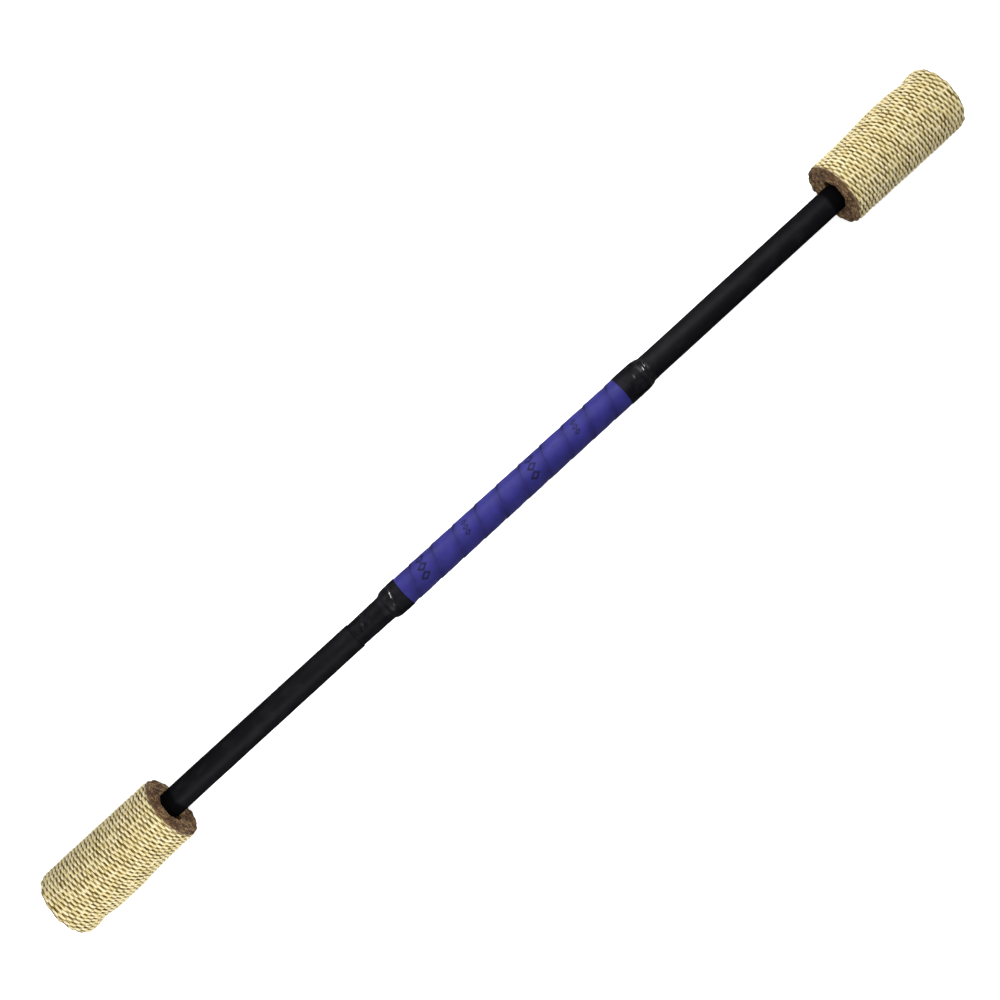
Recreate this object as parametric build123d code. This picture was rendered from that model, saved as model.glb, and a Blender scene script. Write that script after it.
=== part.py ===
"""Two-ended fire baton: an aluminium tube with a woven wick rolled on each end and a taped grip in the middle.

Row frame, in millimetres: the tube's axis is X, the origin is the middle of the tube on that axis, and the
baton lies on its side with +Z up. Every piece is its own solid, written to parts/NODE.step.
The left end is the right end turned half a turn about Z, so both ends are made by the same functions.
"""

import os
from math import ceil, cos, radians, sin

from build123d import *

# ---------------------------------------------------------------- driving dimensions
overall_length = 840.0  # over the two wicks
wick_width = 100.0  # the width the wick tape is sold in
tube_radius = 9.0
tube_wall = 1.5
sleeve_radius = 9.88  # heat-shrunk sleeve on the tube
grip_radius = 11.43
fit_gap = 0.02  # glued and shrunk fits: surfaces face each other without touching

# The wick starts and ends on the +Y side, so that side holds one layer more than the other.
wick_reach_more = 28.8  # from the tube's axis to the outside of the roll, on the side with more layers
wick_reach_less = 23.5
layers_more = 5
layers_less = 4
lap_gap = 0.10  # between one lap and the next
free_end_angle = 60.0  # how far the last lap runs on past the +Y side

# Grip tape and the vinyl tape that binds its ends. Places are along X.
grip_start, grip_end = -107.0, 133.0
grip_pitch = 20.8
grip_lap = 3.0  # how far the bevelled edge of one turn leans over the turn before
grip_seam_place = 4.3  # where one of the leaning edges crosses the +Y side
grip_seam = 0.08
binding_skin = 0.30  # the vinyl's thickness where it covers the grip

# Screws that hold each wick: two through all the laps, two more through the first lap only.
outer_screw_inset = 15.0  # from each edge of the tape
inner_screw_inset = 30.0
outer_screw_angle = 38.0  # below the +Y side, short of the tape's free end
inner_screw_angle = 24.0
washer_radius, washer_hole, washer_thickness = 7.0, 2.2, 1.2
washer_seat = 26.2  # from the tube's axis, pressed into the last lap
outer_shank, outer_length = 2.0, 26.0
inner_shank, inner_length = 1.5, 12.0
pan_head_radius, pan_head_height = 4.0, 2.5
flat_head_radius, flat_head_height = 3.2, 1.9

dowel_length = 112.0
tube_recess = 1.5  # the tube stops this far inside each wick's outer face

# ---------------------------------------------------------------- worked out from those
half_length = overall_length / 2
wick_inner_face = half_length - wick_width
tube_end = half_length - tube_recess
tube_bore = tube_radius - tube_wall
wick_bore = tube_radius + 0.05
pitch_more = (wick_reach_more - wick_bore) / layers_more
pitch_less = (wick_reach_less - wick_bore) / layers_less


def ring(outer, inner, start, end):
    """A plain tube round X from start to end."""
    wall = Plane.YZ.offset(start) * (Circle(outer) - Circle(inner))
    return extrude(wall, amount=end - start)


def turned(profile):
    """The solid that a closed outline of (x, radius) points makes when it turns round X."""
    outline = make_face(Polyline(*[(x, r, 0) for x, r in profile], close=True))
    return revolve(outline, axis=Axis.X, revolution_arc=360)


def other_end(shape):
    """The same piece on the left end."""
    return shape.rotate(Axis.Z, 180)


# ---------------------------------------------------------------- screws
def screw_plane(x, angle):
    """A plane on the tube's axis at x whose normal points out through the screw, below the +Y side."""
    outward = (0, cos(radians(angle)), -sin(radians(angle)))
    return Plane(origin=(x, 0, 0), x_dir=(1, 0, 0), z_dir=outward)


def screw_places(inset, angle):
    """The two planes of a pair of screws, the same distance in from each edge of the tape."""
    return [screw_plane(x, angle) for x in (wick_inner_face + inset, half_length - inset)]


def column(place, radius, low, high):
    """A round bar along a screw's axis, from one distance off the tube's axis to another."""
    return place * Pos(0, 0, low) * Cylinder(radius, high - low, align=(Align.CENTER, Align.CENTER, Align.MIN))


def cross_recess(top, size):
    """The cross that a screwdriver fits, cut down from the top of a head."""
    depth = size * 0.75
    upright = (Align.CENTER, Align.CENTER, Align.MIN)
    blade = Pos(0, 0, top - depth) * Box(size * 2, size * 0.36, depth * 2, align=upright)
    return blade + Rot(0, 0, 90) * blade


def screw(head, shank, length, seat, recess):
    """A screw that points down its own Z, turned from its head outline, with its underside at the seat."""
    tip = seat - length
    point = 2 * shank
    outline = [(0, tip), (shank, tip + point), *head]
    body = make_face(Polyline(*[(r, 0, z) for r, z in outline], close=True))
    return revolve(body, axis=Axis.Z, revolution_arc=360) - cross_recess(outline[-1][1], recess)


def pan_screw():
    """The outer screw: a pan head on a washer."""
    seat = washer_seat + washer_thickness
    crown = seat + pan_head_height
    brim = seat + pan_head_height * 0.45
    head = [
        (outer_shank, seat),
        (pan_head_radius, seat),
        (pan_head_radius, brim),
        (pan_head_radius * 0.82, crown - 0.35),
        (pan_head_radius * 0.45, crown),
        (0, crown),
    ]
    return screw(head, outer_shank, outer_length, seat, pan_head_radius * 0.5)


def flat_screw():
    """The inner screw: a flat head sunk flush in the first lap, where the next lap covers it."""
    crown = first_lap_top() - 0.1
    neck = crown - flat_head_height
    head = [(inner_shank, neck), (flat_head_radius, crown), (0, crown)]
    return screw(head, inner_shank, inner_length, crown, flat_head_radius * 0.5)


def screws_at(places, one):
    """One screw at each place, as a group of separate solids."""
    return Compound([place * one for place in places])


# ---------------------------------------------------------------- wick
def crossing(lap, pitch, drop=0.0):
    """How far off the axis the face of a lap crosses one side of the roll."""
    return wick_bore + lap * pitch - drop


def half_turn(reach_more, reach_less, start, sweep):
    """An arc of the roll in the YZ plane: it crosses +Y at reach_more and -Y at reach_less."""
    centre = (reach_more - reach_less) / 2
    return CenterArc((centre, 0), (reach_more + reach_less) / 2, start, sweep)


def lap_line(first, drop=0.0):
    """One face of the tape from its start on the +Y side, down under the tube and round, to its free end."""
    arcs = []
    for lap in range(first, first + layers_less):
        more, less = crossing(lap, pitch_more, drop), crossing(lap, pitch_less, drop)
        arcs.append(half_turn(more, less, 0, -180))
        arcs.append(half_turn(crossing(lap + 1, pitch_more, drop), less, -180, -180))
    last = first + layers_less
    more, less = crossing(last, pitch_more, drop), crossing(last, pitch_less, drop)
    arcs.append(half_turn(more, less, 0, -free_end_angle))
    return arcs


def first_lap_top():
    """Distance from the tube's axis to the outside of the first lap, at the inner screws."""
    more, less = crossing(1, pitch_more, lap_gap), crossing(1, pitch_less, lap_gap)
    centre, reach = (more - less) / 2, (more + less) / 2
    across = centre * sin(radians(inner_screw_angle))
    return centre * cos(radians(inner_screw_angle)) + (reach**2 - across**2) ** 0.5


def wick():
    """The tape, rolled on the tube. It is one long strip, with its screw holes and washer pockets cut."""
    inner = lap_line(0)
    outer = lap_line(1, lap_gap)
    ends = [Line(inner[0] @ 0, outer[0] @ 0), Line(inner[-1] @ 1, outer[-1] @ 1)]
    section = make_face([*inner, *outer, *ends])
    roll = extrude(Plane.YZ.offset(wick_inner_face) * section, amount=wick_width)
    outside = wick_reach_more + 5
    for place in screw_places(outer_screw_inset, outer_screw_angle):
        roll -= column(place, outer_shank + fit_gap, 0, outside)
        roll -= column(place, washer_radius + 0.2, washer_seat, outside)
    for place in screw_places(inner_screw_inset, inner_screw_angle):
        through = first_lap_top() + lap_gap / 2
        neck = first_lap_top() - 0.1 - flat_head_height
        sinking = column(place, inner_shank + fit_gap, 0, through)
        sinking += column(place, flat_head_radius + 0.1, neck - 0.1, through)
        roll -= sinking
    return roll


def washers():
    """The two washers under the outer screws' heads."""
    places = screw_places(outer_screw_inset, outer_screw_angle)
    one = Pos(0, 0, washer_seat) * Cylinder(
        washer_radius, washer_thickness, align=(Align.CENTER, Align.CENTER, Align.MIN)
    )
    one -= Pos(0, 0, washer_seat) * Cylinder(washer_hole, 3 * washer_thickness)
    one = chamfer(one.edges().group_by(Axis.Z)[-1].sort_by(SortBy.LENGTH)[-1], 0.3)
    return Compound([place * one for place in places])


# ---------------------------------------------------------------- tube and dowels
def bored(shape, clearance):
    """The shape with this end's screw holes drilled in from the screws' side."""
    for place in screw_places(outer_screw_inset, outer_screw_angle):
        shape -= column(place, outer_shank + clearance, 0, tube_radius + 1)
    for place in screw_places(inner_screw_inset, inner_screw_angle):
        shape -= column(place, inner_shank + clearance, 0, tube_radius + 1)
    return shape


def core_tube():
    """The aluminium tube that runs from end to end."""
    tube = bored(ring(tube_radius, tube_bore, -tube_end, tube_end), 0.1)
    return other_end(bored(other_end(tube), 0.1))


def end_dowel():
    """The hardwood plug in the tube's end that the screws bite into."""
    start = tube_end - dowel_length
    plug = extrude(Plane.YZ.offset(start) * Circle(tube_bore - fit_gap), amount=dowel_length)
    plug = chamfer(plug.edges().filter_by(GeomType.CIRCLE), 0.8)
    return bored(plug, fit_gap)


# ---------------------------------------------------------------- sleeves, grip and bindings
right_sleeve_start = grip_end + 0.5
left_sleeve_end = -141.8
sleeve_setback = 0.3  # each sleeve stops just short of its wick


def sleeve(start, end):
    """Heat-shrunk sleeve with softly rounded ends."""
    tube = ring(sleeve_radius, tube_radius + fit_gap, start, end)
    rims = tube.edges().filter_by(GeomType.CIRCLE).filter_by(lambda rim: rim.radius > tube_radius + 0.5)
    return fillet(rims, 0.35)


def helix_turn(radius, start):
    """One turn of a left-handed helix of the grip's pitch round X."""
    return Edge.make_helix(grip_pitch, grip_pitch, radius, (start, 0, 0), (1, 0, 0), 0, True)


def grip_turn(start):
    """The four helical faces of one turn of the strip, and the corner edges they run between."""
    inside, outside = tube_radius + fit_gap, grip_radius
    width = grip_pitch - grip_seam
    corners = [
        helix_turn(inside, start),
        helix_turn(outside, start - grip_lap),
        helix_turn(outside, start - grip_lap + width),
        helix_turn(inside, start + width),
    ]
    sides = [Face.make_surface_from_curves(a, b) for a, b in zip(corners, corners[1:] + corners[:1])]
    return sides, corners


def grip_tape():
    """The grip: one strip wound as a left-handed helix, its bevelled edge leaning over the turn before."""
    first = grip_seam_place + grip_lap - grip_pitch / 4
    first -= grip_pitch * ceil((first - grip_start) / grip_pitch + 1)
    turn_count = ceil((grip_end - first) / grip_pitch) + 1
    turns = [grip_turn(first + turn * grip_pitch) for turn in range(turn_count)]
    faces = [side for sides, _ in turns for side in sides]
    for (_, corners), end in ((turns[0], 0), (turns[-1], 1)):
        faces.append(Face(Wire(Polyline(*[edge @ end for edge in corners], close=True).edges())))
    strip = Solid(Shell(faces))
    return strip & ring(grip_radius + 1, tube_radius - 1, grip_start, grip_end)


def right_binding():
    """Vinyl tape round the grip's right end: over the grip, down its shoulder and on to the sleeve."""
    over_grip = grip_radius + fit_gap
    over_sleeve = sleeve_radius + fit_gap
    shoulder = right_sleeve_start
    return turned(
        [
            (114.4, over_grip),
            (114.4, over_grip + binding_skin),
            (117.0, over_grip + binding_skin + 0.05),
            (shoulder - 2.0, over_grip + binding_skin - 0.05),
            (shoulder + 0.1, over_grip + 0.05),
            (shoulder + 2.1, over_grip - 0.45),
            (shoulder + 3.8, over_sleeve + 0.5),
            (shoulder + 5.3, over_sleeve + 0.2),
            (142.0, over_sleeve + 0.15),
            (142.0, over_sleeve),
            (shoulder - 0.2, over_sleeve),
            (shoulder - 0.2, over_grip),
        ]
    )


def left_binding():
    """Vinyl tape round the grip's left end and on along the bare tube, up to the sleeve."""
    over_grip = grip_radius + fit_gap
    over_tube = tube_radius + fit_gap
    shoulder = grip_start - 0.3
    return turned(
        [
            (-94.7, over_grip),
            (-94.7, over_grip + binding_skin),
            (-97.5, over_grip + binding_skin + 0.1),
            (shoulder + 1.2, over_grip + binding_skin - 0.1),
            (shoulder - 0.2, over_grip + 0.05),
            (shoulder - 2.2, over_grip - 0.7),
            (shoulder - 3.7, over_tube + 1.1),
            (shoulder - 5.2, over_tube + 0.75),
            (left_sleeve_end + 12.0, over_tube + 0.5),
            (left_sleeve_end + 0.2, over_tube + 0.25),
            (left_sleeve_end + 0.2, over_tube),
            (shoulder, over_tube),
            (shoulder, over_grip),
        ]
    )


# ---------------------------------------------------------------- the whole baton
right_end = {
    "end_dowel": end_dowel(),
    "wick": wick(),
    "wick_outer_screws": screws_at(screw_places(outer_screw_inset, outer_screw_angle), pan_screw()),
    "wick_inner_screws": screws_at(screw_places(inner_screw_inset, inner_screw_angle), flat_screw()),
    "wick_washers": washers(),
}
pieces = {
    "core_tube": core_tube(),
    "grip_tape": grip_tape(),
    "right_sleeve": sleeve(right_sleeve_start, wick_inner_face - sleeve_setback),
    "left_sleeve": sleeve(-wick_inner_face + sleeve_setback, left_sleeve_end),
    "right_binding": right_binding(),
    "left_binding": left_binding(),
}
for name, piece in right_end.items():
    pieces["right_" + name] = piece
    pieces["left_" + name] = other_end(piece)

os.makedirs("parts", exist_ok=True)
for name, piece in pieces.items():
    export_step(piece, f"parts/{name}.step")
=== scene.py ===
"""The looks of a two-ended fire baton: woven wick rolls, a wound grip, vinyl bindings and shrunk sleeves.

Lengths are in metres, in the CAD's frame: X runs along the tube, +Z is up, and the origin is in the middle
of the tube's axis. The left wick is the right wick turned half a turn about Z.
"""

import math

import bpy
import numpy as np
from mathutils import Euler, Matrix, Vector


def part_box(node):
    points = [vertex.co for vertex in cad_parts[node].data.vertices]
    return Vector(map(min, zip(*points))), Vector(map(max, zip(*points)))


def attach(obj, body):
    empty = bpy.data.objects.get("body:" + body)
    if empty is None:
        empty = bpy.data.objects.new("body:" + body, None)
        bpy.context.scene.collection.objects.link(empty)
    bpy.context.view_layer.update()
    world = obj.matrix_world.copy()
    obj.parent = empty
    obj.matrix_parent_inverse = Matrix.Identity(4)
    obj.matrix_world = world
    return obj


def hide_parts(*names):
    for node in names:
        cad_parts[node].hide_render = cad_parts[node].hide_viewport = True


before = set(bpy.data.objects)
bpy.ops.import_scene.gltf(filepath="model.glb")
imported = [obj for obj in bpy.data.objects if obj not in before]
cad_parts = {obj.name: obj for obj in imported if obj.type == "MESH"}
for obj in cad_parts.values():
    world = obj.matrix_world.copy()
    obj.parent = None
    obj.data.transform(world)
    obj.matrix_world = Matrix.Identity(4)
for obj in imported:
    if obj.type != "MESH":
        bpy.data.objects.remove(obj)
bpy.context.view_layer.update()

MM = 0.001
TURN = 2 * math.pi


# ---- sizes, read from the frame
def low(node, axis):
    """The low end of a CAD node along an axis, 0 to 2."""
    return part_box(node)[0][axis]


def high(node, axis):
    """The high end of a CAD node along an axis, 0 to 2."""
    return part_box(node)[1][axis]


TUBE = high("core_tube", 1)
SLEEVE = high("right_sleeve", 1)
GRIP = high("grip_tape", 1)
GRIP_START, GRIP_END = low("grip_tape", 0), high("grip_tape", 0)
WICK_IN, WICK_OUT = low("right_wick", 0), high("right_wick", 0)
FIT = 0.05 * MM  # glued and wound pieces stay this far apart

# The roll of tape: the +Y side holds one lap more than the other.
LAPS_MORE, LAPS_LESS = 5, 4
LAP_GAP = 0.10 * MM
WICK_BORE = TUBE + FIT
PITCH_MORE = (high("right_wick", 1) + LAP_GAP - WICK_BORE) / LAPS_MORE
PITCH_LESS = (LAP_GAP - low("right_wick", 1) - WICK_BORE) / LAPS_LESS
FREE_END = math.radians(60.0)  # how far the last lap runs on past the +Y side
ROLL_END = TURN * (LAPS_MORE - 1) + FREE_END

# The washers lie on the tape's last lap, at the screws' angle below the +Y side.
WASHER = 7.0 * MM  # radius
WASHER_THICKNESS = 1.2 * MM
SCREW_XS = (low("right_wick_washers", 0) + WASHER, high("right_wick_washers", 0) - WASHER)
WASHER_Y = (low("right_wick_washers", 1) + high("right_wick_washers", 1)) / 2
WASHER_Z = (low("right_wick_washers", 2) + high("right_wick_washers", 2)) / 2
SCREW_ANGLE = math.atan2(-WASHER_Z, WASHER_Y)
WASHER_SEAT = math.hypot(WASHER_Y, WASHER_Z) - WASHER_THICKNESS / 2


# ---- mesh building
def quad_mesh(name, corners, quads):
    """A smooth mesh from corner places and quads."""
    mesh = bpy.data.meshes.new(name)
    mesh.vertices.add(len(corners))
    mesh.vertices.foreach_set("co", np.ascontiguousarray(corners, np.float32).ravel())
    mesh.loops.add(quads.size)
    mesh.loops.foreach_set("vertex_index", quads.ravel().astype(np.int32))
    mesh.polygons.add(len(quads))
    mesh.polygons.foreach_set("loop_start", np.arange(0, quads.size, 4, dtype=np.int32))
    mesh.polygons.foreach_set("loop_total", np.full(len(quads), 4, np.int32))
    mesh.update(calc_edges=True)
    mesh.polygons.foreach_set("use_smooth", np.ones(len(mesh.polygons), bool))
    return mesh


def add_object(name, data):
    """An object in the scene from a mesh, light or camera."""
    made = bpy.data.objects.new(name, data)
    bpy.context.scene.collection.objects.link(made)
    return made


def sheets(name, grids, material, wrap=False, keep=None):
    """One piece from several grids of points.

    Each grid is (points, attributes): points are rows x columns x 3, and an attribute is rows x columns.
    wrap joins the last column to the first, to make a tube. keep tells from their corners which quads stay.
    """
    corners, quads, base = [], [], 0
    for points, _ in grids:
        rows, columns = points.shape[:2]
        ids = base + np.arange(rows * columns).reshape(rows, columns)
        if wrap:
            ids = np.concatenate([ids, ids[:, :1]], axis=1)
        around = [ids[:-1, :-1], ids[:-1, 1:], ids[1:, 1:], ids[1:, :-1]]
        quads.append(np.stack(around, axis=-1).reshape(-1, 4))
        corners.append(points.reshape(-1, 3))
        base += rows * columns
    corners, quads = np.concatenate(corners), np.concatenate(quads)
    if keep is not None:
        quads = quads[keep(corners[quads])]
    mesh = quad_mesh(name, corners, quads)
    for key in grids[0][1]:
        values = [np.broadcast_to(extra[key], points.shape[:2]).ravel() for points, extra in grids]
        layer = mesh.attributes.new(key, "FLOAT", "POINT")
        layer.data.foreach_set("value", np.concatenate(values).astype(np.float32))
    mesh.materials.append(material)
    return add_object(name, mesh)


def unit(vectors):
    """The same directions with a length of 1."""
    return vectors / np.maximum(np.linalg.norm(vectors, axis=1, keepdims=True), 1e-12)


ANY_SLANT = (0.31, 0.52, 0.79)  # a direction that no straight cord here follows
POINT = 0.001 * MM  # the radius of a cord's closed end


def tube_grid(path, radius, sides, up=ANY_SLANT):
    """A round cord along a path of points x 3, closed at its ends. up must not lie along the path."""
    path = np.asarray(path, float)
    radius = np.broadcast_to(radius, len(path)).copy()
    radius[0] = radius[-1] = POINT
    along = unit(np.gradient(path, axis=0))
    side = unit(np.cross(along, np.asarray(up, float)))
    lift = np.cross(side, along)
    angle = np.linspace(0, TURN, sides, endpoint=False)
    ring = side[:, None] * np.cos(angle)[:, None] + lift[:, None] * np.sin(angle)[:, None]
    return path[:, None] + ring * radius[:, None, None]


def smooth(x):
    """A smooth step from 0 to 1."""
    x = np.clip(x, 0, 1)
    return x * x * (3 - 2 * x)


def rounded(x):
    """How far a quarter-round edge falls short of its full height: 1 at x = 0, and 0 from x = 1."""
    return 1 - np.sqrt(np.clip(1 - (1 - np.clip(x, 0, 1)) ** 2, 0, 1))


WAVES = 5


def swell(seed, wavelength):
    """Smooth two-way noise of about -1 to 1, from a few sines with seeded phases."""
    draw = np.random.default_rng(seed)
    rates = TURN / wavelength * draw.uniform(0.55, 1.7, (WAVES, 2)) * draw.choice([-1, 1], (WAVES, 2))
    phases = draw.uniform(0, TURN, (WAVES, 2))

    def noise(a, b=0.0):
        total = 0
        for rate, phase in zip(rates, phases):
            total = total + np.sin(rate[0] * a + phase[0]) * np.cos(rate[1] * b + phase[1])
        return total * 1.2 / math.sqrt(WAVES)

    return noise


# ---- materials
class Shader:
    """A material and short calls for the nodes used here. Texture coordinates are in millimetres."""

    def __init__(self, name):
        self.material = bpy.data.materials.new(name)
        self.material.use_nodes = True
        self.tree = self.material.node_tree
        self.tree.nodes.clear()
        self.surface = self.node("ShaderNodeBsdfPrincipled")
        output = self.node("ShaderNodeOutputMaterial")
        self.tree.links.new(self.surface.outputs[0], output.inputs["Surface"])
        place = self.node("ShaderNodeTexCoord").outputs["Object"]
        self.place = self.vector("SCALE", place, scale=1 / MM)

    def node(self, kind, settings=None, inputs=None):
        node = self.tree.nodes.new(kind)
        for key, value in (settings or {}).items():
            setattr(node, key, value)
        for key, value in (inputs or {}).items():
            self.feed(node.inputs[key], value)
        return node

    def feed(self, socket, value):
        if isinstance(value, bpy.types.NodeSocket):
            self.tree.links.new(value, socket)
        elif isinstance(value, tuple) and len(value) == 3 and socket.type == "RGBA":
            socket.default_value = (*value, 1.0)
        else:
            socket.default_value = value

    def vector(self, operation, a, b=None, scale=None):
        node = self.node("ShaderNodeVectorMath", {"operation": operation}, {0: a})
        if b is not None:
            self.feed(node.inputs[1], b)
        if scale is not None:
            self.feed(node.inputs["Scale"], scale)
        return node.outputs[0]

    def math(self, operation, *values):
        inputs = dict(enumerate(values))
        return self.node("ShaderNodeMath", {"operation": operation}, inputs).outputs[0]

    def attribute(self, name):
        return self.node("ShaderNodeAttribute", {"attribute_name": name}).outputs["Fac"]

    def from_middle(self):
        """Distance along X from the middle of the baton, in millimetres."""
        return self.math("ABSOLUTE", self.node("ShaderNodeSeparateXYZ", None, {0: self.place}).outputs["X"])

    def noise(self, size, detail=3.0, stretch=(1.0, 1.0, 1.0), roughness=0.55):
        """Noise of 0 to 1 whose lumps are about size millimetres across, divided by stretch."""
        return self.noise_at(self.vector("MULTIPLY", self.place, stretch), detail, roughness, 1 / size)

    def noise_at(self, vector, detail, roughness=0.55, scale=1.0):
        inputs = {"Vector": vector, "Scale": scale, "Detail": detail, "Roughness": roughness}
        return self.node("ShaderNodeTexNoise", None, inputs).outputs["Fac"]

    def rescale(self, value, from_low, from_high, to_low=0.0, to_high=1.0):
        """A smooth step between two ends, held outside them."""
        inputs = {"Value": value, "From Min": from_low, "From Max": from_high}
        inputs |= {"To Min": to_low, "To Max": to_high}
        return self.node("ShaderNodeMapRange", {"interpolation_type": "SMOOTHSTEP"}, inputs).outputs[0]

    def mix(self, factor, a, b):
        """A colour from a to b. Sockets 6 and 7 of the mix node are its two colours, and 2 is the result."""
        return self.node("ShaderNodeMix", {"data_type": "RGBA"}, {0: factor, 6: a, 7: b}).outputs[2]

    def bump(self, height, distance):
        """A normal from a height of 0 to 1 that stands for a distance in millimetres."""
        inputs = {"Height": height, "Distance": distance * MM, "Strength": 1.0}
        return self.node("ShaderNodeBump", None, inputs).outputs[0]

    def finish(self, **inputs):
        names = {"color": "Base Color", "roughness": "Roughness", "normal": "Normal", "metallic": "Metallic"}
        names |= {"specular": "Specular IOR Level", "sheen": "Sheen Weight"}
        names |= {"sheen_roughness": "Sheen Roughness"}
        for key, value in inputs.items():
            self.feed(self.surface.inputs[names[key]], value)
        return self.material


def linear(value):
    """A linear value from a display value of 0 to 255, by the sRGB curve."""
    share = value / 255
    return share / 12.92 if share <= 0.04045 else ((share + 0.055) / 1.055) ** 2.4


def color(red, green, blue):
    """A linear colour from display values of 0 to 255."""
    return linear(red), linear(green), linear(blue)


PLY_LENGTH = 1.35  # millimetres along a cord from one ply to the next
PLY_TWIST = 1.15  # plies crossed on the way over a cord


def cord_material(name, light, middle, dark, patch_size=5.0, variety=0.18, scorched=None, singed=None):
    """Twisted aramid cord: fine plies that lean round it, with painted shade in the grooves between the plies
    and in the gaps of the weave.

    variety is how much one cord's colour differs from another's, scorched the colour of its darker patches,
    and singed the colour of its patches at the wick's rims.
    """
    s = Shader(name)
    along, across, depth, strand = (s.attribute(key) for key in ("along", "across", "depth", "strand"))
    lean = s.math("ADD", s.math("MULTIPLY", along, 1 / PLY_LENGTH), s.math("MULTIPLY", across, PLY_TWIST))
    ply = s.math("SINE", s.math("MULTIPLY", lean, TURN))
    ply = s.math("MULTIPLY_ADD", ply, 0.5, 0.5)
    rates = ((lean, 9.0), (across, 2.5), (strand, 40.0))
    drawn_out = dict(enumerate(s.math("MULTIPLY", value, rate) for value, rate in rates))
    hair = s.noise_at(s.node("ShaderNodeCombineXYZ", None, drawn_out).outputs[0], 4.0)
    patch = s.noise(patch_size, 3.0)
    tint = s.mix(s.rescale(patch, 0.35, 0.68), middle, light)
    tint = s.mix(s.math("MULTIPLY", s.rescale(hair, 0.35, 0.75), 0.35), tint, middle)
    # painted shade in the grooves between the plies
    tint = s.mix(s.math("MULTIPLY", s.math("SUBTRACT", 1.0, ply), 0.28), tint, middle)
    tint = s.mix(s.math("MULTIPLY", strand, variety), tint, dark if variety > 0.5 else middle)
    if scorched:
        burn = s.rescale(s.noise(4.2, 4.0), 0.48, 0.60)
        tint = s.mix(s.math("MULTIPLY", burn, 0.80), tint, scorched)
    # painted shade, darker the deeper a point lies under the crowns of the weave
    tint = s.mix(s.rescale(depth, 0.10, 0.66), tint, dark)
    if singed:
        place = s.from_middle()
        from_inner = s.math("SUBTRACT", place, WICK_IN / MM)
        from_outer = s.math("SUBTRACT", WICK_OUT / MM, place)
        inward = s.math("MINIMUM", from_inner, from_outer)
        ragged = s.math("MULTIPLY_ADD", s.noise(3.0, 3.0), -4.0, inward)
        tint = s.mix(s.math("MULTIPLY", s.rescale(ragged, -0.9, -1.7), 0.85), tint, singed)
    height = s.math("MULTIPLY_ADD", hair, 0.35, ply)
    normal = s.bump(height, 0.16)
    inputs = {"specular": 0.25, "sheen": 0.16 if scorched else 0.25, "sheen_roughness": 0.5}
    return s.finish(color=tint, roughness=0.86, normal=normal, **inputs)


def tape_material(name, light, dark):
    """The body of the tape between its cords and at its edges: dense, and brown with the binder."""
    s = Shader(name)
    coarse = s.noise(1.6, 4.0)
    fine = s.noise(0.28)
    tint = s.mix(s.rescale(coarse, 0.36, 0.66), dark, light)
    tint = s.mix(s.math("MULTIPLY", s.rescale(fine, 0.4, 0.7), 0.5), tint, light)
    height = s.math("MULTIPLY_ADD", coarse, 0.8, fine)
    return s.finish(color=tint, roughness=0.92, normal=s.bump(height, 0.35), specular=0.15, sheen=0.15)


def grip_material(name):
    """Soft purple polyurethane with a fine leathery grain and dark pressed marks, and painted shade in its
    valleys and along its edges.
    """
    s = Shader(name)
    grain = s.noise(0.42, 4.0, roughness=0.6)
    cloud = s.noise(9.0, 3.0)
    mark, edge, valley_shade = s.attribute("mark"), s.attribute("edge"), s.attribute("valley_shade")
    tint = s.mix(s.rescale(cloud, 0.3, 0.7), color(32, 30, 96), color(38, 36, 106))
    tint = s.mix(s.math("MULTIPLY", s.rescale(grain, 0.4, 0.75), 0.15), tint, color(60, 58, 128))
    # painted shade in the shallow valleys beside each seam
    tint = s.mix(s.math("MULTIPLY", valley_shade, 0.45), tint, color(22, 19, 72))
    # painted shade along the strip's edges, darkest in the ticks under its curled lip
    tint = s.mix(edge, tint, color(3, 3, 16))
    tint = s.mix(s.math("MULTIPLY", mark, 0.95), tint, color(4, 4, 24))
    rough = s.rescale(cloud, 0.2, 0.8, 0.50, 0.62)
    normal = s.bump(grain, 0.04)
    return s.finish(color=tint, roughness=rough, normal=normal, specular=0.12, sheen=0.04)


def vinyl_material(name, tint_light, tint_dark):
    """Black vinyl tape: satin with dull smears, and glossy where it is stretched over a shoulder."""
    s = Shader(name)
    ripple = s.noise(4.0, 2.0, (1.0, 0.45, 0.45))
    pores = s.noise(0.35, 3.0)
    smear = s.noise(6.0, 4.0)
    tint = s.mix(s.rescale(smear, 0.35, 0.7), tint_dark, tint_light)
    rough = s.rescale(smear, 0.3, 0.75, 0.42, 0.56)
    gloss = s.attribute("gloss")
    rough = s.math("MULTIPLY", rough, s.math("SUBTRACT", 1.0, s.math("MULTIPLY", gloss, 0.75)))
    height = s.math("MULTIPLY_ADD", pores, 0.08, ripple)
    shine = s.math("MULTIPLY_ADD", gloss, 0.80, 0.035)
    return s.finish(color=tint, roughness=rough, normal=s.bump(height, 0.04), specular=shine)


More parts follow.
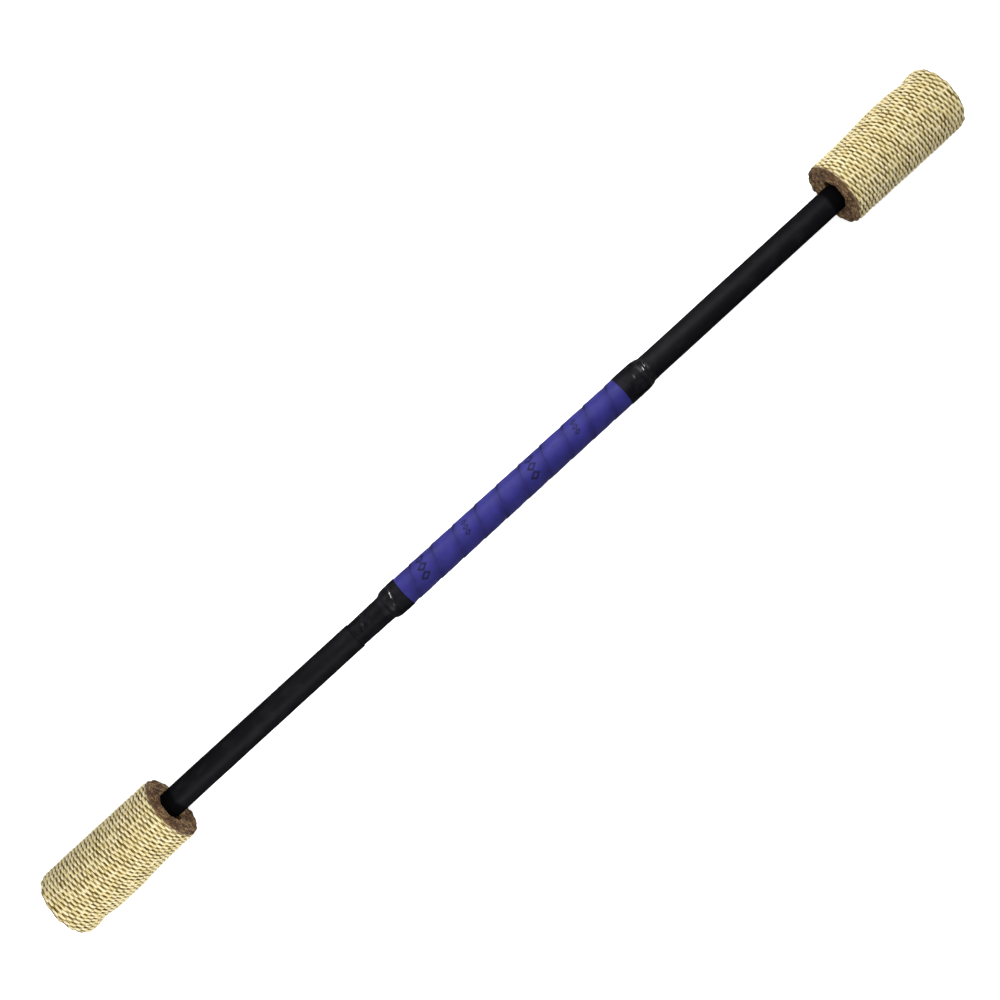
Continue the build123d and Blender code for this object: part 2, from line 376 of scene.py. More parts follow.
def sleeve_material(name):
    """Black heat-shrunk polyolefin: satin, with faint lengthwise flow lines, and painted shade next to the
    wicks, duller there too.
    """
    s = Shader(name)
    flow = s.noise(1.6, 3.0, (0.06, 1.0, 1.0))
    grain = s.noise(0.30, 3.0)
    scuff = s.noise(7.0, 5.0, (0.5, 1.0, 1.0))
    # painted shade: a ragged dark, dull band next to each wick, where the wick's head shades the sleeve and
    # hides its highlight
    shade_reach = s.math("MULTIPLY_ADD", scuff, 5.0, s.from_middle())
    painted_shade = s.rescale(shade_reach, WICK_IN / MM - 8.5, WICK_IN / MM - 5.0)
    tint = s.mix(s.rescale(scuff, 0.45, 0.75), color(14, 14, 17), color(23, 22, 25))
    tint = s.mix(painted_shade, tint, color(7, 6, 7))
    rough = s.rescale(scuff, 0.3, 0.75, 0.50, 0.60)
    rough = s.math("MULTIPLY_ADD", painted_shade, 0.30, rough)
    height = s.math("MULTIPLY_ADD", grain, 0.35, flow)
    shine = s.math("MULTIPLY_ADD", painted_shade, -0.05, 0.07)
    return s.finish(color=tint, roughness=rough, normal=s.bump(height, 0.05), specular=shine)


def metal_material(name, light, dark, rough, stretch=(1.0, 1.0, 1.0), shaded_span=(1000.0, 1001.0)):
    """Bare metal with drawn or turned scratches and a little tarnish.

    shaded_span gives the two ends of a stretch darkened and dulled as painted shade, in mm from the middle of
    the baton. The default lies off it.
    """
    s = Shader(name)
    scratch = s.noise(0.12, 2.0, stretch)
    tarnish = s.noise(2.4, 4.0)
    tint = s.mix(s.rescale(tarnish, 0.42, 0.72), light, dark)
    finish = s.rescale(tarnish, 0.3, 0.75, rough, rough + 0.22)
    # painted shade over the given span: darker, rougher, less metallic and less shiny
    place = s.from_middle()
    past_start = s.rescale(place, shaded_span[0], shaded_span[0] + 0.5)
    before_end = s.rescale(place, shaded_span[1] + 0.5, shaded_span[1])
    painted_shade = s.math("MULTIPLY", past_start, before_end)
    tint = s.mix(painted_shade, tint, color(12, 9, 7))
    finish = s.math("MAXIMUM", finish, painted_shade)
    metallic = s.math("MULTIPLY_ADD", painted_shade, -0.6, 0.6)
    shine = s.math("MULTIPLY_ADD", painted_shade, -0.45, 0.5)
    normal = s.bump(scratch, 0.02)
    return s.finish(color=tint, roughness=finish, normal=normal, metallic=metallic, specular=shine)


def wood_material(name):
    """Turned hardwood: rings round an axis a little off the dowel's, with long pores."""
    s = Shader(name)
    offset = s.vector("ADD", s.place, (0.0, 3.0, 9.0))
    inputs = {"Vector": offset, "Scale": 0.32, "Distortion": 1.6, "Detail": 3.0, "Detail Scale": 1.5}
    rings = s.node("ShaderNodeTexWave", {"wave_type": "RINGS", "rings_direction": "X"}, inputs).outputs["Fac"]
    pores = s.noise(0.22, 2.0, (0.08, 1.0, 1.0))
    tint = s.mix(rings, color(196, 158, 108), color(160, 118, 74))
    tint = s.mix(s.math("MULTIPLY", s.rescale(pores, 0.5, 0.72), 0.6), tint, color(112, 78, 46))
    return s.finish(color=tint, roughness=0.72, normal=s.bump(pores, 0.08), specular=0.3)


# ---- the wick's roll
def lap_radius(u, face):
    """Distance from the axis to a face of the tape, after it has turned u from its start on the +Y side.

    face 0 is the side against the tube and 1 the outer side. Each half turn is an arc that crosses the +Y and
    -Y sides at evenly spaced distances, as in the CAD.
    """
    lap = np.floor(u / TURN + 1e-9)
    upper_half = (u - lap * TURN) > math.pi
    more = WICK_BORE + PITCH_MORE * (lap + face + upper_half)
    less = WICK_BORE + PITCH_LESS * (lap + face)
    centre, radius = (more - less) / 2, (more + less) / 2
    reach = np.sqrt(np.maximum(radius**2 - (centre * np.sin(u)) ** 2, 0))
    return centre * np.cos(u) + reach - LAP_GAP * face


ROLL_SAMPLES = 8000


def roll_table(face, start, end):
    """Matching tables of turn and of length along a face of the tape."""
    u = np.linspace(start, end, ROLL_SAMPLES)
    radius = lap_radius(u, face)
    length = np.concatenate([[0.0], np.cumsum(np.diff(u) * (radius[1:] + radius[:-1]) / 2)])
    return u, length


def on_roll(x, u, radius):
    """Points at a place along X, a turn and a distance from the axis."""
    x, u, radius = np.broadcast_arrays(x, u, radius)
    return np.stack([x, radius * np.cos(u), -radius * np.sin(u)], axis=-1)


def outer_turn(u):
    """The turn of the outermost lap that lies over each turn."""
    return ROLL_END - (ROLL_END - np.minimum(u, ROLL_END)) % TURN


# Where the roll is drawn in: towards its inner rim on the free-end side, beside the outer screw, at the
# tape's cut end, and under the washers.
TIGHT_DROP, TIGHT_REACH = 2.1 * MM, math.radians(70)
TIGHT_START, TIGHT_FADE = 20 * MM, 42 * MM
SCREW_DROP, SCREW_REACH = 1.6 * MM, math.radians(44)
SCREW_BELOW, SCREW_LENGTH = math.radians(4), 7 * MM  # the dip's middle below the +Y side, and its length
CUT_END_DROP, CUT_END_TAPER = 1.9 * MM, math.radians(40)
WASHER_DISH = 5 * MM  # the cloth round a washer comes back up over this distance


def drawn_in(points, u):
    """A wick's points after winding and screwing have drawn it in: most at the outside, least at the tube."""
    x, y, z = points[..., 0], points[..., 1], points[..., 2]
    radius, top = np.hypot(y, z), lap_radius(outer_turn(u), 1.0)
    share = np.clip((radius - WICK_BORE) / (top - WICK_BORE), 0, 1)
    below = np.arctan2(-z, y)
    near_side = smooth(1 - np.abs(below) / TIGHT_REACH)
    tight = 1 - smooth((x - WICK_IN - TIGHT_START) / TIGHT_FADE)
    dip_along = np.exp(-(((x - SCREW_XS[1] - 0.6 * MM) / SCREW_LENGTH) ** 2))
    dip_round = smooth(1 - np.abs(below - SCREW_BELOW) / SCREW_REACH)
    cut_end = smooth((u - ROLL_END) / CUT_END_TAPER + 1)
    drop = share * (TIGHT_DROP * near_side * tight + SCREW_DROP * dip_along * dip_round)
    drop = drop + CUT_END_DROP * cut_end
    scale = 1 - drop / np.maximum(radius, MM)
    points = np.stack([x, y * scale, z * scale], axis=-1)
    outward = np.array([0.0, math.cos(SCREW_ANGLE), -math.sin(SCREW_ANGLE)])
    sideways = np.array([0.0, math.sin(SCREW_ANGLE), math.cos(SCREW_ANGLE)])
    depth = np.maximum(top - radius, 0)
    for screw_x in SCREW_XS:
        height = points @ outward
        away = np.hypot(points[..., 0] - screw_x, points @ sideways)
        held = (1 - smooth((away - WASHER - 0.5 * MM) / WASHER_DISH)) * (height > WASHER_SEAT / 2)
        flat = np.minimum(WASHER_SEAT - FIT - depth * 0.6, height)
        points = points + (held * (flat - height))[..., None] * outward
    return points


CORDS = 65
CORD_PITCH = (WICK_OUT - WICK_IN) / CORDS
WEFT_PITCH = 5.5 * MM
SHOWN_TURN = TURN + math.radians(12)  # the outer lap, and a little that the free end covers
RIM_DROP, RIM_ROUND = 0.9 * MM, 3.0 * MM
CROWN = 0.42 * MM  # how far the cords' crowns stand out from the tape's mean surface
WARP_STEP = 0.86 * MM  # from one row of a warp cord's points to the next
WARP_HALF_WIDTH, WARP_HALF_HEIGHT = 0.89 * MM, 0.78 * MM
WARP_DIP, OUTERMOST_DIP = 0.60 * MM, 0.42 * MM  # half a cord's way from its floats down to its dips
WARP_LEAN = -0.10 * MM
WEFT_RADIUS, WEFT_DEPTH, WEFT_WAVE = 0.42 * MM, 1.45 * MM, 0.22 * MM
DEPTH_UNIT = 2 * MM  # the depth under the crowns at which the depth attribute is 1
FLOAT_STEEPNESS, FLOAT_BIAS = 1.9, 0.15


def rim_drop(x):
    """How far the roll's outer side rounds off towards its two rims."""
    edge = np.minimum(x - WICK_IN, WICK_OUT - x)
    return RIM_DROP * np.clip(1 - edge / RIM_ROUND, 0, 1) ** 2


def cord_wave(phase):
    """1 where a warp cord floats on the weft and about -1 where it dips. The floats are the longer part."""
    full = math.tanh(FLOAT_STEEPNESS * (1 + FLOAT_BIAS))
    return np.tanh(FLOAT_STEEPNESS * (np.cos(phase) + FLOAT_BIAS)) / full


def per_float(draw, s, spread):
    """Seeded values that change from one float to the next, joined smoothly along s."""
    knots = np.arange(-1, int(s[-1] / WEFT_PITCH) + 3) * WEFT_PITCH
    return np.interp(s, knots, draw.normal(0, spread, len(knots)))


def weave_extra(depth, along, arch, strand):
    """Attributes of an arched cord. arch holds the angles of the points across it."""
    return {
        "depth": depth / DEPTH_UNIT,
        "along": (along / MM)[:, None],
        "across": (arch / math.pi)[None, :],
        "strand": np.full((1, 1), strand),
    }


def warp_grids(seed):
    """The cords that run round the roll. Each floats over one weft cord, leans, and dips under the next."""
    draw = np.random.default_rng(seed)
    u_table, s_table = roll_table(1.0, ROLL_END - SHOWN_TURN, ROLL_END)
    length = s_table[-1]
    rows = int(length / WARP_STEP)
    arch = np.radians(np.linspace(-16, 196, 8))
    drift, sway, puff = swell(seed + 1, 36 * MM), swell(seed + 2, 11 * MM), swell(seed + 3, 7 * MM)
    tightness = swell(seed + 4, 16 * MM)
    grids = []
    for cord in range(CORDS):
        s = np.linspace(0, length + draw.uniform(-0.8, 0.2) * MM, rows)
        u = np.interp(s, s_table, u_table)
        home = WICK_IN + (cord + 0.5) * CORD_PITCH
        outermost = cord in (0, CORDS - 1)
        dip = (OUTERMOST_DIP if outermost else WARP_DIP) + per_float(draw, s, 0.07 * MM)
        shifted = s + 0.65 * MM * sway(home * 2, s) + 0.9 * MM * drift(home * 2, s)
        shifted = shifted + per_float(draw, s, 0.14 * MM) + draw.normal(0, 0.12 * MM)
        phase = math.pi * (shifted / WEFT_PITCH + cord)
        wave = cord_wave(phase)
        size = 1 + 0.05 * puff(home * 9 + cord, s) + 0.05 * tightness(home, s) + per_float(draw, s, 0.05)
        half_width = WARP_HALF_WIDTH * size
        half_height = WARP_HALF_HEIGHT * size
        lean = (per_float(draw, s, 0.06 * MM) + WARP_LEAN) * np.sin(phase)
        x = home + lean + 0.04 * MM * sway(home * 5, s) + 0.10 * MM * drift(home, s)
        x = np.clip(x + per_float(draw, s, 0.02 * MM), WICK_IN + 0.55 * MM, WICK_OUT - 0.55 * MM)
        crown = lap_radius(u, 1.0) + CROWN
        top = crown - rim_drop(x) + 0.08 * MM * puff(home * 4, s) + per_float(draw, s, 0.06 * MM)
        end = 1 - smooth((s - length + 3 * MM) / (3 * MM))  # each cord thins out at the cut end
        centre = top - half_height - dip * (1 - wave) - 1.2 * MM * (1 - end)
        across = x[:, None] + half_width[:, None] * np.cos(arch)
        up = centre[:, None] + (half_height * (0.35 + 0.65 * end))[:, None] * np.sin(arch)
        # the depth drives the cords' painted shade; the outermost cords get less of it
        depth = (crown[:, None] - up) * (0.75 if outermost else 1.0)
        points = drawn_in(on_roll(across, u[:, None], up), u[:, None])
        grids.append((points, weave_extra(depth, s, arch, draw.uniform())))
    return grids


def weft_grids(seed):
    """The thinner cords that run along X, under the floats and over the dips."""
    u_table, s_table = roll_table(1.0, ROLL_END - SHOWN_TURN, ROLL_END)
    cords = np.linspace(0.1, CORDS - 1.1, CORDS * 4)
    wander = swell(seed, 14 * MM)
    arch = np.radians(np.linspace(-20, 200, 6))
    grids = []
    for pick in range(1, int(s_table[-1] / WEFT_PITCH) + 1):
        s = pick * WEFT_PITCH + 0.35 * MM * wander(cords * CORD_PITCH, pick)
        u = np.interp(s, s_table, u_table)
        x = WICK_IN + (cords + 0.5) * CORD_PITCH
        wave = np.cos(math.pi * (pick + cords))
        middle = lap_radius(u, 1.0) - rim_drop(x) - WEFT_DEPTH - WEFT_WAVE * wave
        up = middle[:, None] + WEFT_RADIUS * np.sin(arch)
        turned = u[:, None] + WEFT_RADIUS * np.cos(arch) / middle[:, None]
        # the depth drives the weft's painted shade
        depth = lap_radius(u, 1.0)[:, None] - up
        points = drawn_in(on_roll(x[:, None], turned, up), u[:, None])
        grids.append((points, weave_extra(depth, x, arch, pick % 7 / 7)))
    return grids


LOOP_PITCH = 2.3 * MM
TAPE_STEP, EDGE_STEP = 0.9 * MM, 0.85 * MM  # between rows of points along the tape and its edge cords
CORD_ROOM = 1.75 * MM  # how much thinner the outer lap's body is, where the cords lie on it
EDGE_CORD_LAYERS = (0.17, 0.5, 0.83)  # where the edge cords lie through the tape's thickness
CORD_SIDES, LOOP_SIDES, FIBRE_SIDES = 7, 6, 3


def outer_lap(u):
    """1 on the outer lap, which carries the cords, and 0 on the laps under it."""
    return smooth((u - (ROLL_END - TURN)) / math.radians(3))


def edge_place(side, s, ripple):
    """Where the tape's edge lies along X. side is -1 for the inner rim and 1 for the outer."""
    rim = WICK_IN if side < 0 else WICK_OUT
    return rim - side * (0.45 * MM + 0.22 * MM * ripple(s, side * 0.02))


def tape_grid(seed):
    """The body of the tape: a rolled strip with rounded rims. Its outer lap leaves room for the cords."""
    u_table, s_table = roll_table(0.5, 0.0, ROLL_END)
    rows = int(s_table[-1] / TAPE_STEP)
    s = np.linspace(0, s_table[-1], rows)
    closing = np.array([0.97, 0.8, 0.45, 0.02])
    s = np.concatenate([np.full(4, s[0]), s, np.full(4, s[-1])])
    share = np.concatenate([closing[::-1], np.ones(rows), closing])
    u = np.interp(s, s_table, u_table)
    ripple = swell(seed, 17 * MM)
    bend = np.radians(np.linspace(-90, 90, 9))
    rim = 1.0 * MM * (1 - np.abs(np.cos(bend)) ** 0.6)
    layer = 0.5 + 0.5 * np.sign(np.sin(bend)) * np.abs(np.sin(bend)) ** 0.8
    inner = lap_radius(u, 0.0)
    outer = lap_radius(u, 1.0) - outer_lap(u) * CORD_ROOM
    columns = []
    for side, order in ((-1, slice(None)), (1, slice(None, None, -1))):
        x = edge_place(side, s, ripple)[:, None] - side * rim[order][None, :]
        part = layer[order][None, :]
        part = 0.5 + (part - 0.5) * share[:, None]
        columns.append(on_roll(x, u[:, None], inner[:, None] + (outer - inner)[:, None] * part))
    steps = np.linspace(0, 1, 9)[1:-1][None, :, None]
    outer_face = columns[0][:, -1:] * (1 - steps) + columns[1][:, :1] * steps
    joined = np.concatenate([columns[0], outer_face, columns[1]], axis=1)
    return drawn_in(joined, u[:, None])


def cord_extra(s, sides, strand, depth):
    """Attributes of a round cord. depth, one value or a column of them, stands for how shaded it is."""
    return {
        "depth": np.atleast_2d(depth),
        "along": (s / MM)[:, None],
        "across": np.linspace(0, 2, sides, endpoint=False)[None, :],
        "strand": np.full((1, 1), strand),
    }


def selvage_grids(seed):
    """The tape's woven edges on both end faces: edge cords side by side, and the weft's loops round them.

    On the outer lap both tuck in under the warp cords, which come right up to the rim.
    """
    draw = np.random.default_rng(seed)
    u_table, s_table = roll_table(0.5, math.radians(8), ROLL_END - math.radians(3))
    length = s_table[-1]
    ripple, rough = swell(seed, 17 * MM), swell(seed + 5, 4 * MM)
    cords, loops = [], []
    for side in (-1, 1):
        for number, place in enumerate(EDGE_CORD_LAYERS):
            s = np.linspace(0, length, int(length / EDGE_STEP))
            u = np.interp(s, s_table, u_table)
            inner, outer = lap_radius(u, 0.0), lap_radius(u, 1.0)
            wave = np.cos(math.pi * (s / WEFT_PITCH + number))
            layer = (place + 0.05 * wave + 0.03 * rough(s, number)) * (1 - 0.40 * outer_lap(u))
            radius = inner + (outer - inner) * layer
            x = edge_place(side, s, ripple) - side * (0.45 + 0.16 * wave + 0.12 * rough(s, 3 + side)) * MM
            thick = (0.56 + 0.08 * rough(s * 1.3, number + side)) * MM
            grid = tube_grid(drawn_in(on_roll(x, u, radius), u), thick, CORD_SIDES, up=(1.0, 0.0, 0.0))
            cords.append((grid, cord_extra(s, CORD_SIDES, draw.uniform(0.0, 0.6), 0.2)))
        for pick in range(int(length / LOOP_PITCH)):
            s = (pick + 0.5 + draw.uniform(-0.3, 0.3)) * LOOP_PITCH
            u = np.interp(s, s_table, u_table)
            inner, outer = lap_radius(u, 0.0), lap_radius(u, 1.0)
            bend = np.linspace(-1, 1, 8)
            top = 0.5 + 0.37 * bend
            radius = inner + (outer - inner) * top * (1 - 0.42 * outer_lap(u))
            lean = draw.uniform(-1.1, 1.1) * MM
            swing = (1 - np.abs(bend) ** 3) * draw.uniform(0.2, 0.8) * MM
            x = edge_place(side, s, ripple) - side * (0.55 * MM - swing)
            turned = u + lean * bend / radius
            thick = draw.uniform(0.30, 0.50) * MM
            grid = tube_grid(drawn_in(on_roll(x, turned, radius), u), thick, LOOP_SIDES, up=(1.0, 0.0, 0.0))
            shade = 0.1 + 0.45 * np.abs(bend[:, None]) ** 3
            loops.append((grid, cord_extra(np.linspace(0, 5 * MM, 8), LOOP_SIDES, draw.uniform(0, 1), shade)))
    return cords, loops


FIBRES, FIBRE_RADIUS = 420, 0.045 * MM


def fibre_grids(seed, count):
    """Loose fibres that stand off the end faces."""
    draw = np.random.default_rng(seed)
    t = np.linspace(0, 1, 5)
    grids = []
    for _ in range(count):
        side = draw.choice([-1, 1])
        u = draw.uniform(0.4, ROLL_END - 0.05)
        layer = draw.uniform(0.1, 0.9) * (1 - 0.4 * float(outer_lap(u)))
        radius = lap_radius(np.array(u), 0.0) * (1 - layer) + lap_radius(np.array(u), 1.0) * layer
        start = on_roll((WICK_IN if side < 0 else WICK_OUT) - side * 0.4 * MM, u, float(radius))
        start = drawn_in(start, u)
        reach = draw.uniform(0.5, 1.5) * MM
        heading = np.array([side * draw.uniform(0.4, 0.9), *draw.uniform(-0.9, 0.9, 2)])
        curl = draw.uniform(-0.6, 0.6, 3)
        path = start + reach * (t[:, None] * heading + (t**2)[:, None] * curl)
        grid = tube_grid(path, FIBRE_RADIUS * (1.3 - t), FIBRE_SIDES)
        grids.append((grid, cord_extra(t * reach, FIBRE_SIDES, draw.uniform(), 0.1)))
    return grids


def turned_half(grids):
    """The same grids turned half a turn about Z, for the left end."""
    return [(points * np.array([-1, -1, 1]), extra) for points, extra in grids]


# ---- the grip and its bindings
def round_tube(x, radius, angle):
    """Points round the axis. angle runs from the +Y side towards +Z."""
    x, radius, angle = np.broadcast_arrays(x, radius, angle)
    return np.stack([x, radius * np.cos(angle), radius * np.sin(angle)], axis=-1)


def profile(x, knots):
    """A smooth curve through (place, radius) knots in millimetres, in metres."""
    places, values = (np.array(v, float) * MM for v in zip(*knots))
    slopes = np.gradient(values, places)
    i = np.clip(np.searchsorted(places, x) - 1, 0, len(places) - 2)
    span = places[i + 1] - places[i]
    t = np.clip((x - places[i]) / span, 0, 1)
    t2, t3 = t * t, t * t * t
    start, end = values[i] * (2 * t3 - 3 * t2 + 1), values[i + 1] * (3 * t2 - 2 * t3)
    return start + end + span * (slopes[i] * (t3 - 2 * t2 + t) + slopes[i + 1] * (t3 - t2))


GRIP_PITCH = 20.8 * MM
SEAM_PLACE = 4.3 * MM  # where one seam crosses the +Y side
LIP_LEAD, LIP_SPREAD = 0.065, 24 / 360  # of a turn: where each turn's edge curls up, and over how much
RIDGE, RIDGE_WIDTH = 0.30 * MM, 3.2 * MM  # the strip is thicker along its showing edge
CORNER, CORNER_WIDTH = 0.42 * MM, 1.6 * MM  # the rounding of that edge
MARKS = ((78.0, 0.90), (30.0, 1.50), (-26.0, 0.90), (-80.0, 1.50))  # pressed ornaments: (mm along X, size)
MARK_DEPTH = 0.20 * MM
R_SHOW, R_END = low("right_binding", 0), high("right_binding", 0)
L_END, L_SHOW = low("left_binding", 0), high("left_binding", 0)


def outline_right():
    """The right binding, from over the grip to its end on the sleeve: (mm from its start, radius in mm)."""
    top, base = GRIP / MM + 0.36, SLEEVE / MM
    return [(0, top), (1.5, top + 0.04), (8, top), (15, top - 0.06), (18.6, top - 0.22), (20.3, top - 0.55),
            (21.8, base + 0.95), (23.0, base + 0.38), (24.3, base + 0.16), (27.6, base + 0.08)]


def outline_left():
    """The left binding, from its end on the tube to over the grip: (mm from its start, radius in mm)."""
    top, base = GRIP / MM + 0.36, TUBE / MM
    return [(0, base + 0.27), (12, base + 0.45), (22, base + 0.60), (28.2, base + 0.72), (30, base + 0.92),
            (31.4, base + 1.70), (32.8, top - 0.50), (34.6, top - 0.20), (38, top - 0.04), (43, top + 0.06),
            (46.9, top)]


def under_binding(x):
    """The largest radius that fits under the bindings at a place along X."""
    right = profile(np.clip(x, R_SHOW, R_END) - R_SHOW, outline_right())
    left = profile(np.clip(x, L_END, L_SHOW) - L_END, outline_left())
    at_right, at_left = x > R_SHOW - 0.01 * MM, x < L_SHOW + 0.01 * MM
    return np.where(at_right, right, np.where(at_left, left, 2 * GRIP)) - 0.33 * MM


def ornament(arc, v):
    """A chain of three small lozenges, 0 to 1, from places along and across the strip in mm."""
    total = 0
    for number in (-1, 0, 1):
        a = np.abs(arc - 4.4 * number) / 2.0 + np.abs(v) / 2.9
        total = total + smooth(1.25 - np.abs(a - 0.78) / 0.34)
    return np.clip(total, 0, 1)


def grip_grid(seed):
    """The grip tape as one closed strip wound as a left-handed helix. Each turn laps over the one before."""
    per_turn = 128
    first = math.floor((GRIP_START - SEAM_PLACE) / GRIP_PITCH) - 1
    last = math.ceil((GRIP_END - SEAM_PLACE) / GRIP_PITCH) + 1
    helix = np.linspace(first, last, (last - first) * per_turn + 1)
    angle = -TURN * helix
    seam = SEAM_PLACE + helix * GRIP_PITCH
    near_edge, far_edge = [0.0, 0.05, 0.15, 0.35, 0.7, 1.2, 1.9], [20.7, 21.4, 23.0]
    v = np.concatenate([near_edge, np.linspace(2.8, 20.3, 37), far_edge]) * MM  # across the strip
    ridge = RIDGE * np.exp(-v / RIDGE_WIDTH)
    crown = 0.10 * MM * np.sin(math.pi * np.clip(v / GRIP_PITCH, 0, 1))
    tuck = 0.26 * MM * smooth((v - 14 * MM) / (7 * MM)) + 0.5 * MM * smooth((v - 20.6 * MM) / (2 * MM))
    corner = CORNER * rounded(v / CORNER_WIDTH)
    height = GRIP - 0.02 * MM + ridge + crown - tuck - corner
    lip = np.exp(-((((helix + LIP_LEAD) - np.round(helix)) / LIP_SPREAD) ** 2))
    curl = lip[:, None] * np.exp(-((v / (2.0 * MM)) ** 2))[None, :]
    rise, wander = swell(seed, 26 * MM), swell(seed + 1, 60 * MM)
    arc = helix * TURN * GRIP
    x = seam[:, None] + v[None, :] + 0.30 * MM * wander(arc)[:, None]
    radius = height[None, :] + 0.05 * MM * rise(arc[:, None], v[None, :] * 3) + 0.45 * MM * curl
    mark = np.zeros_like(radius)
    for centre, size in MARKS:
        turns = (centre * MM - SEAM_PLACE - 9 * MM) / GRIP_PITCH
        nearest = np.round(turns + 0.19) - 0.19  # on the side that faces up, a little towards +Y
        along = (arc - nearest * TURN * GRIP)[:, None] / MM
        mark = np.maximum(mark, ornament(along / size, (v / MM - 10.0)[None, :] / size))
    radius = radius - MARK_DEPTH * mark
    back_v = np.array([23.0, 17.0, 12.0, 6.0, 0.0]) * MM
    back_x = seam[:, None] + back_v[None, :] + 0.30 * MM * wander(arc)[:, None]
    back = np.full_like(back_x, TUBE + 0.4 * MM)
    back[:, 0] = height[-1] - 0.35 * MM
    back[:, -1] = height[0] - 0.75 * MM
    x, radius = np.concatenate([x, back_x], axis=1), np.concatenate([radius, back], axis=1)
    # painted shade along the seams; the lip's curl adds dark ticks
    edge = np.exp(-v / (0.5 * MM)) + smooth((v - 20.0 * MM) / (0.8 * MM))
    edge = np.concatenate([edge, np.ones(len(back_v))])
    edge = 0.08 * np.broadcast_to(np.clip(edge, 0, 1)[None, :], x.shape).copy()
    edge[:, :len(v)] = np.maximum(edge[:, :len(v)], curl)
    # painted shade in the shallow valleys beside each seam
    valley_shade = np.exp(-((v / (3.4 * MM)) ** 2)) + smooth((v - 13.0 * MM) / (7.8 * MM))
    valley_shade = np.concatenate([np.clip(valley_shade, 0, 1), np.ones(len(back_v))])
    valley_shade = np.broadcast_to(valley_shade[None, :], x.shape)
    mark = np.concatenate([mark, np.zeros_like(back_x)], axis=1)
    x = np.clip(x, GRIP_START, GRIP_END)
    radius = np.minimum(radius, under_binding(x))
    return round_tube(x, radius, angle[:, None]), {"mark": mark, "edge": edge, "valley_shade": valley_shade}


def inside_grip(corners):
    """True for quads that aren't wholly squeezed on to one end of the grip."""
    x = corners[..., 0]
    return (x.min(1) < GRIP_END - 0.001 * MM) & (x.max(1) > GRIP_START + 0.001 * MM)


BINDING_STEP = 0.22 * MM
BINDING_TURNS = 5

# Short shiny folds: (mm along X, degrees from the +Y side towards +Z, length, width and height in mm).
RIGHT_CREASES = [(126.5, 80, 1.3, 0.6, 0.025), (135.6, 77, 4.6, 0.5, 0.25), (137.4, 75, 4.6, 0.5, 0.28)]
LEFT_CREASES = [(-103.6, 74, 4.2, 0.7, 0.26), (-132.0, 80, 1.8, 0.6, 0.10)]


def binding(name, start, end, outline, lean, seed, inner, creases, shine, material):
    """Stretched tape wound in overlapping turns with faint slanted edges.

    inner gives the radius under it, and shine is how glossy it is where it drops off the grip.
    """
    x = np.linspace(start, end, int((end - start) / BINDING_STEP))
    angle = np.linspace(0, TURN, 144, endpoint=False)
    base = profile(x - start, outline)
    ripple, crease = swell(seed, 9 * MM), swell(seed + 1, 3.4 * MM)
    steep = np.abs(np.gradient(base, x))
    lift = 0.035 * MM * ripple(x[:, None], angle[None, :] * GRIP)
    lift = lift + 0.05 * MM * smooth(steep * 3)[:, None] * crease(x[:, None] * 0.6, angle[None, :] * GRIP)
    for turn in range(BINDING_TURNS):
        home = start + (turn + 0.35) * (end - start) / 4.6
        edge = home + lean * (angle / TURN - 0.5) + 0.5 * MM * np.sin(angle + turn)
        step = 0.5 + 0.5 * np.tanh((x[:, None] - edge[None, :]) / (0.16 * MM))
        fade = np.exp(-np.abs(x[:, None] - edge[None, :]) / (4 * MM))
        lift = lift + 0.10 * MM * (step - 0.5) * fade
    rim = np.minimum(x - start, end - x)
    lift = lift - 0.18 * MM * (1 - np.clip(rim / (0.35 * MM), 0, 1))[:, None] ** 2
    outer = np.maximum(base[:, None] + lift, inner(x)[:, None] + 0.08 * MM)
    gloss = np.broadcast_to(shine * smooth(steep * 4)[:, None], outer.shape)
    for place, turned, length, width, height in creases:
        around = (angle[None, :] - math.radians(turned)) * GRIP / MM
        along = (x[:, None] / MM - place) + 0.30 * around
        shape = np.exp(-((along / width) ** 2) - (around / length) ** 2)
        gloss = np.maximum(gloss, np.clip(1.8 * shape * min(1.0, height / 0.12), 0, 1))
        outer = outer + height * MM * shape
    under = np.broadcast_to(inner(x)[::-1, None], outer.shape)
    radius = np.concatenate([outer, under, outer[:1]])
    place = np.concatenate([x, x[::-1], x[:1]])
    gloss = np.concatenate([gloss, gloss[::-1], gloss[:1]])
    return sheets(name, [(round_tube(place[:, None], radius, angle), {"gloss": gloss})], material, wrap=True)


SNUG = 0.25 * MM  # how far a sleeve is pushed in between the tube and the rounded edge of the tape
SLEEVE_SIDES = 128
SLEEVE_ROUND = 0.30 * MM


